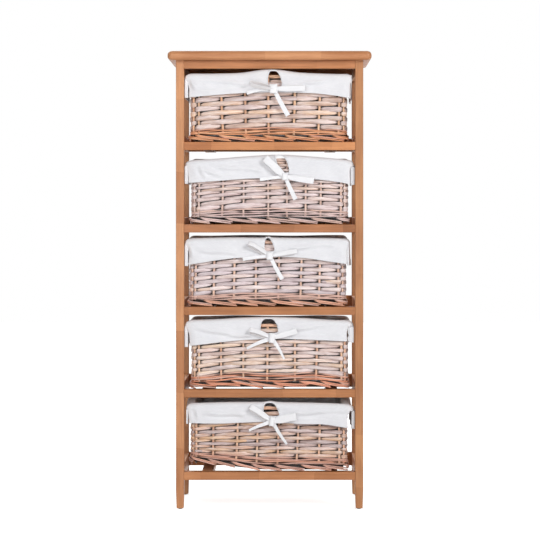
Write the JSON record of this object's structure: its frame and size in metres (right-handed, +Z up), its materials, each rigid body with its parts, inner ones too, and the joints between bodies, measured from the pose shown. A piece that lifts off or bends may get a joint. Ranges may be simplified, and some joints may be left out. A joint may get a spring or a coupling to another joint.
{
  "type": "bathroom drawer unit",
  "caption": "Tall open wooden tower whose tiers each hold a loose, lined wicker basket that pulls out as a drawer.",
  "frame": {"origin": "the middle of the footprint, on the floor that the glides stand on", "axes": "+Z up, the front with the bows faces -Y, and X runs across the front"},
  "size_m": [0.4, 0.29, 0.9],
  "materials": {
    "stained_wood": "orange-brown stained softwood under a thin satin lacquer",
    "dowel_beech": "raw fluted beech",
    "willow": "split willow with a thin white wash, woven",
    "cotton": "off-white plain-weave cotton",
    "ribbon": "off-white cotton tape",
    "zinc_steel": "zinc-plated steel",
    "glide_plastic": "grey moulded plastic"
  },
  "bodies": {
    "frame": {"top_board": "stained_wood", "top_front_rail": "stained_wood", "top_rear_rail": "stained_wood", "side_rail_left_top": "stained_wood", "side_rail_right_top": "stained_wood", "front_left_post": "stained_wood", "front_right_post": "stained_wood", "rear_left_post": "stained_wood", "rear_right_post": "stained_wood", "front_rail_1": "stained_wood", "rear_rail_1": "stained_wood", "side_rail_left_1": "stained_wood", "side_rail_right_1": "stained_wood", "shelf_slats_1": "stained_wood", "front_rail_2": "stained_wood", "rear_rail_2": "stained_wood", "side_rail_left_2": "stained_wood", "side_rail_right_2": "stained_wood", "shelf_slats_2": "stained_wood", "front_rail_3": "stained_wood", "rear_rail_3": "stained_wood", "side_rail_left_3": "stained_wood", "side_rail_right_3": "stained_wood", "shelf_slats_3": "stained_wood", "front_rail_4": "stained_wood", "rear_rail_4": "stained_wood", "side_rail_left_4": "stained_wood", "side_rail_right_4": "stained_wood", "shelf_slats_4": "stained_wood", "front_rail_5": "stained_wood", "rear_rail_5": "stained_wood", "side_rail_left_5": "stained_wood", "side_rail_right_5": "stained_wood", "shelf_slats_5": "stained_wood", "foot_glides": "glide_plastic", "frame_bolts": "zinc_steel", "frame_dowels": "dowel_beech", "top_screws": "zinc_steel"},
    "basket_1": {"basket_wall_1": "willow", "basket_base_1": "willow", "liner_1": "cotton", "bow_1": "ribbon"},
    "basket_2": {"basket_wall_2": "willow", "basket_base_2": "willow", "liner_2": "cotton", "bow_2": "ribbon"},
    "basket_3": {"basket_wall_3": "willow", "basket_base_3": "willow", "liner_3": "cotton", "bow_3": "ribbon"},
    "basket_4": {"basket_wall_4": "willow", "basket_base_4": "willow", "liner_4": "cotton", "bow_4": "ribbon"},
    "basket_5": {"basket_wall_5": "willow", "basket_base_5": "willow", "liner_5": "cotton", "bow_5": "ribbon"}
  },
  "joints": [
    {"name": "basket_1_slide", "type": "slide", "parent": "frame", "child": "basket_1", "axis": [0, -1, 0], "range_m": [0, 0.26]},
    {"name": "basket_2_slide", "type": "slide", "parent": "frame", "child": "basket_2", "axis": [0, -1, 0], "range_m": [0, 0.26]},
    {"name": "basket_3_slide", "type": "slide", "parent": "frame", "child": "basket_3", "axis": [0, -1, 0], "range_m": [0, 0.26]},
    {"name": "basket_4_slide", "type": "slide", "parent": "frame", "child": "basket_4", "axis": [0, -1, 0], "range_m": [0, 0.26]},
    {"name": "basket_5_slide", "type": "slide", "parent": "frame", "child": "basket_5", "axis": [0, -1, 0], "range_m": [0, 0.26]}
  ]
}
